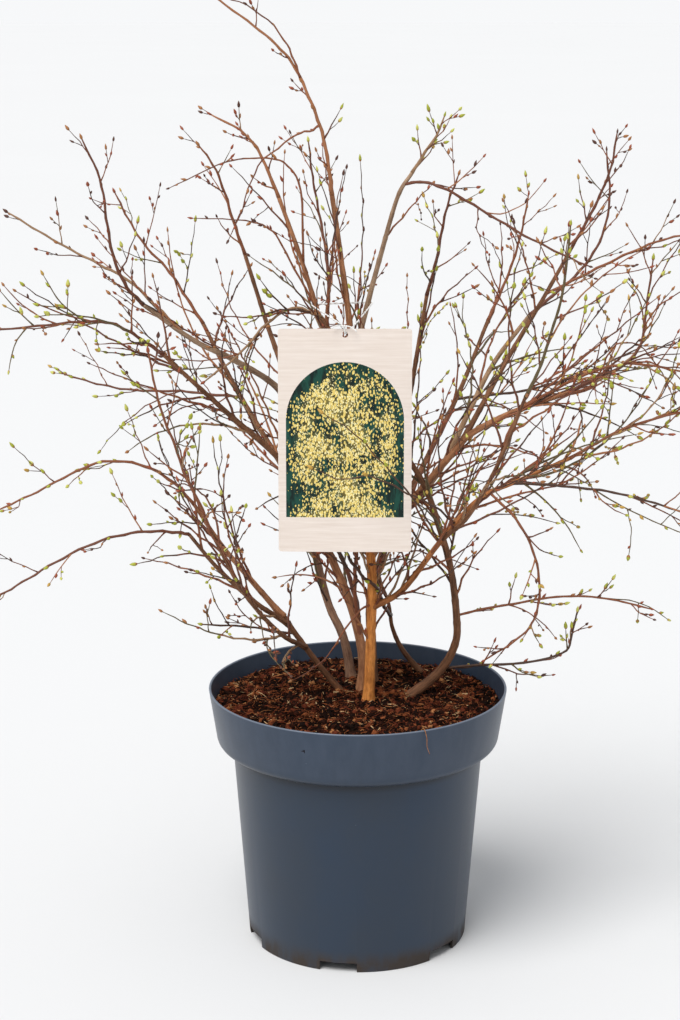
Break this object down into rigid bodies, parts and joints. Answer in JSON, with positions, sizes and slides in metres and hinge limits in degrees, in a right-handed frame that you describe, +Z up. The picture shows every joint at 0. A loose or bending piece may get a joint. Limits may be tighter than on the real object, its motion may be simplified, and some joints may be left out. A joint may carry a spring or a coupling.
{
  "type": "potted buttercup winter hazel",
  "caption": "Bare, many-stemmed winter-flowering shrub with arching budded twigs, in a round blue-grey nursery pot full of potting mix, with a picture label tied on.",
  "frame": {"origin": "middle of the pot's flat underside, on the surface that the pot stands on", "axes": "+Z up along the pot's axis, and the plant's front, where the label hangs, faces -Y"},
  "size_m": [0.7306, 0.6134, 0.9625],
  "materials": {
    "pot_plastic": "satin blue-grey plastic, lighter along the lip",
    "potting_mix": "dark red-brown fibrous potting mix with straw-coloured slivers",
    "label": "satin printed card, cream with a dark green picture panel",
    "string": "white string",
    "tan_bark": "smooth orange-tan bark",
    "brown_bark": "smooth grey-brown bark",
    "twigs": "thin red-brown to olive twigs with pointed buds"
  },
  "bodies": {
    "root": {"pot": "pot_plastic", "soil": "potting_mix", "label_card": "label", "label_tie": "string", "stem_front": "tan_bark", "stem_second": "brown_bark", "stem_thick": "tan_bark", "stem_rear_right": "brown_bark", "stem_left_low": "brown_bark", "stem_right_low": "brown_bark", "stem_thin": "brown_bark", "bough_top": "brown_bark", "bough_right": "brown_bark", "bough_front_right": "tan_bark", "bough_left_long": "brown_bark", "bough_left_top": "brown_bark", "bough_rear_left": "brown_bark", "bough_rear": "brown_bark", "bough_back_left": "brown_bark", "bough_right_back": "tan_bark", "bough_rear_right": "brown_bark", "bough_rear_top": "brown_bark", "bough_left_low": "brown_bark", "bough_left_front": "brown_bark", "bough_front_left": "brown_bark", "bough_front_high": "brown_bark", "bough_upper_left": "brown_bark", "bough_upper_right": "brown_bark", "bough_right_high": "brown_bark", "twigs_top": "twigs", "twigs_top_left": "twigs", "twigs_top_rear": "twigs", "twigs_upper_right": "twigs", "twigs_right_arch": "twigs", "twigs_left_arch": "twigs", "twigs_left_top": "twigs", "twigs_left_out": "twigs", "twigs_left_long": "twigs", "twigs_left_low": "twigs", "twigs_left_front": "twigs", "twigs_rear_left": "twigs", "twigs_rear_left_low": "twigs", "twigs_back_left": "twigs", "twigs_rear": "twigs", "twigs_rear_low": "twigs", "twigs_right": "twigs", "twigs_right_edge": "twigs", "twigs_right_high": "twigs", "twigs_right_out": "twigs", "twigs_right_back": "twigs", "twigs_rear_right": "twigs", "twigs_low_rear": "twigs", "twigs_front_right": "twigs", "twigs_low_side": "twigs", "twigs_hanging": "twigs", "twigs_low_right": "twigs", "twigs_level_right": "twigs", "twigs_left_rim": "twigs", "twigs_front_left": "twigs", "twigs_front_high": "twigs"}
  },
  "joints": []
}
